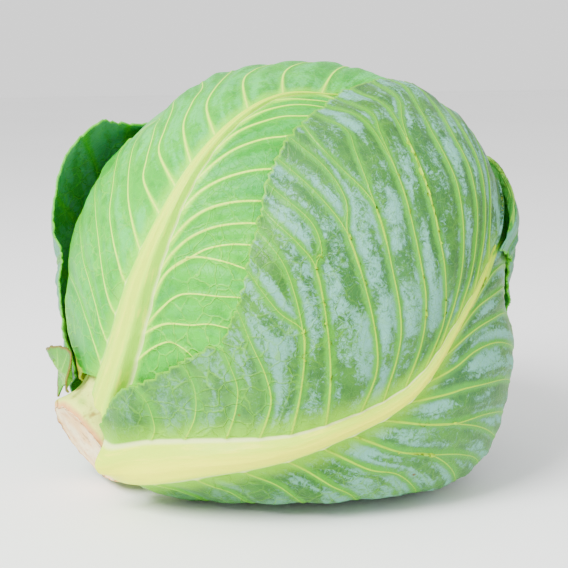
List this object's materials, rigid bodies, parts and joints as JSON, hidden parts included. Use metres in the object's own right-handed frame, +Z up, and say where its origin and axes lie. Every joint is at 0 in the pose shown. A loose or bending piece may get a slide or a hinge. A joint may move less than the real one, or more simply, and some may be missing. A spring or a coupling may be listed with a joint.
{
  "type": "cabbage head",
  "caption": "Round head of white cabbage lying on its side: large ribbed, overlapping outer leaves round a dense heart, with the cut stump at one end.",
  "frame": {"origin": "at the table, under the middle of the head's outer box", "axes": "+Z up; +X runs level from the cut stump to the crown; -Y faces the side where the large front leaf's rib runs"},
  "size_m": [0.1816, 0.1738, 0.1573],
  "materials": {
    "heart": "crisp pale yellow-green leaf, a little glossy",
    "stump": "dry cream-coloured cut stalk, matte",
    "inner_leaf": "light green leaf with a faint waxy bloom",
    "top_leaf": "light fresh green leaf with pale ribs, satin",
    "under_leaf": "mid green leaf with a faint waxy bloom, satin",
    "front_leaf": "mid green leaf with a bluish waxy bloom and yellow-green ribs, satin",
    "back_leaf": "darker green leaf with a toothed edge, satin",
    "cut_leaf_base": "cut foot of a leaf, dark green with a browned edge, matte"
  },
  "bodies": {
    "root": {"heart": "heart", "stump": "stump", "inner_leaf": "inner_leaf", "top_leaf": "top_leaf", "under_leaf": "under_leaf", "front_leaf": "front_leaf", "back_leaf": "back_leaf", "cut_leaf_base": "cut_leaf_base"}
  },
  "joints": []
}
